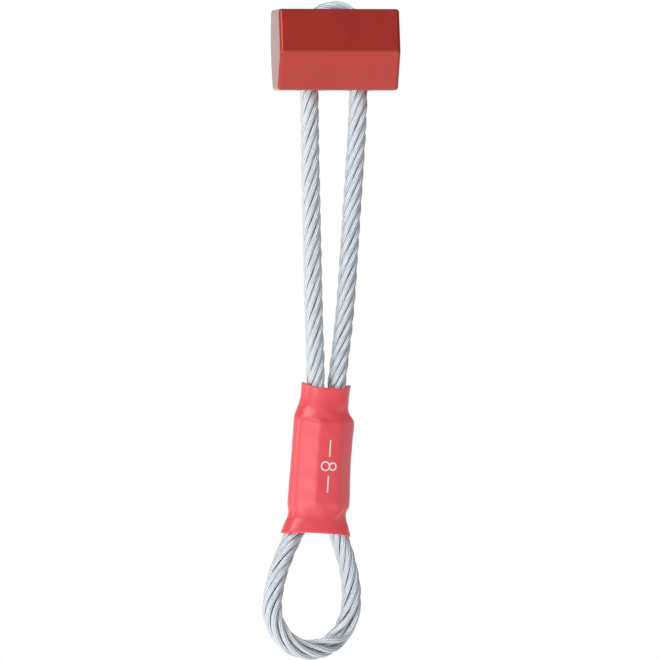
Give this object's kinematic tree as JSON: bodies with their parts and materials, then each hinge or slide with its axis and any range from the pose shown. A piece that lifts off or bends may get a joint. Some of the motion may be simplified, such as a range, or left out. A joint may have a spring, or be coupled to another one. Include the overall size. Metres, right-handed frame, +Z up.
{
  "type": "wired climbing chock",
  "caption": "Wired climbing chock: a faceted anodised metal head that slides on a looped wire rope, swaged under a shrunk sleeve above a clip-in eye.",
  "frame": {"origin": "the point on the inside of the eye's lowest bend where a karabiner bears", "axes": "+Z runs up from the eye to the head, +X runs along the head, and the head's ridged face looks along -Y"},
  "size_m": [0.0285, 0.0154, 0.1395],
  "materials": {
    "head_anodised": "red anodised, satin, edges softened by tumbling",
    "wire_rope": "galvanised, drawn wires laid right-handed",
    "ferrule_metal": "pressed, plain",
    "shrink_sleeve": "heat-shrunk polyolefin, satin coral red"
  },
  "bodies": {
    "sling": {"cable": "wire_rope", "ferrule": "ferrule_metal", "sleeve": "shrink_sleeve"},
    "chock_head": {"head": "head_anodised"}
  },
  "joints": [
    {"name": "head_slide", "type": "slide", "parent": "sling", "child": "chock_head", "axis": [-0.0165, 0, -0.9999], "range_m": [0, 0.01]}
  ]
}
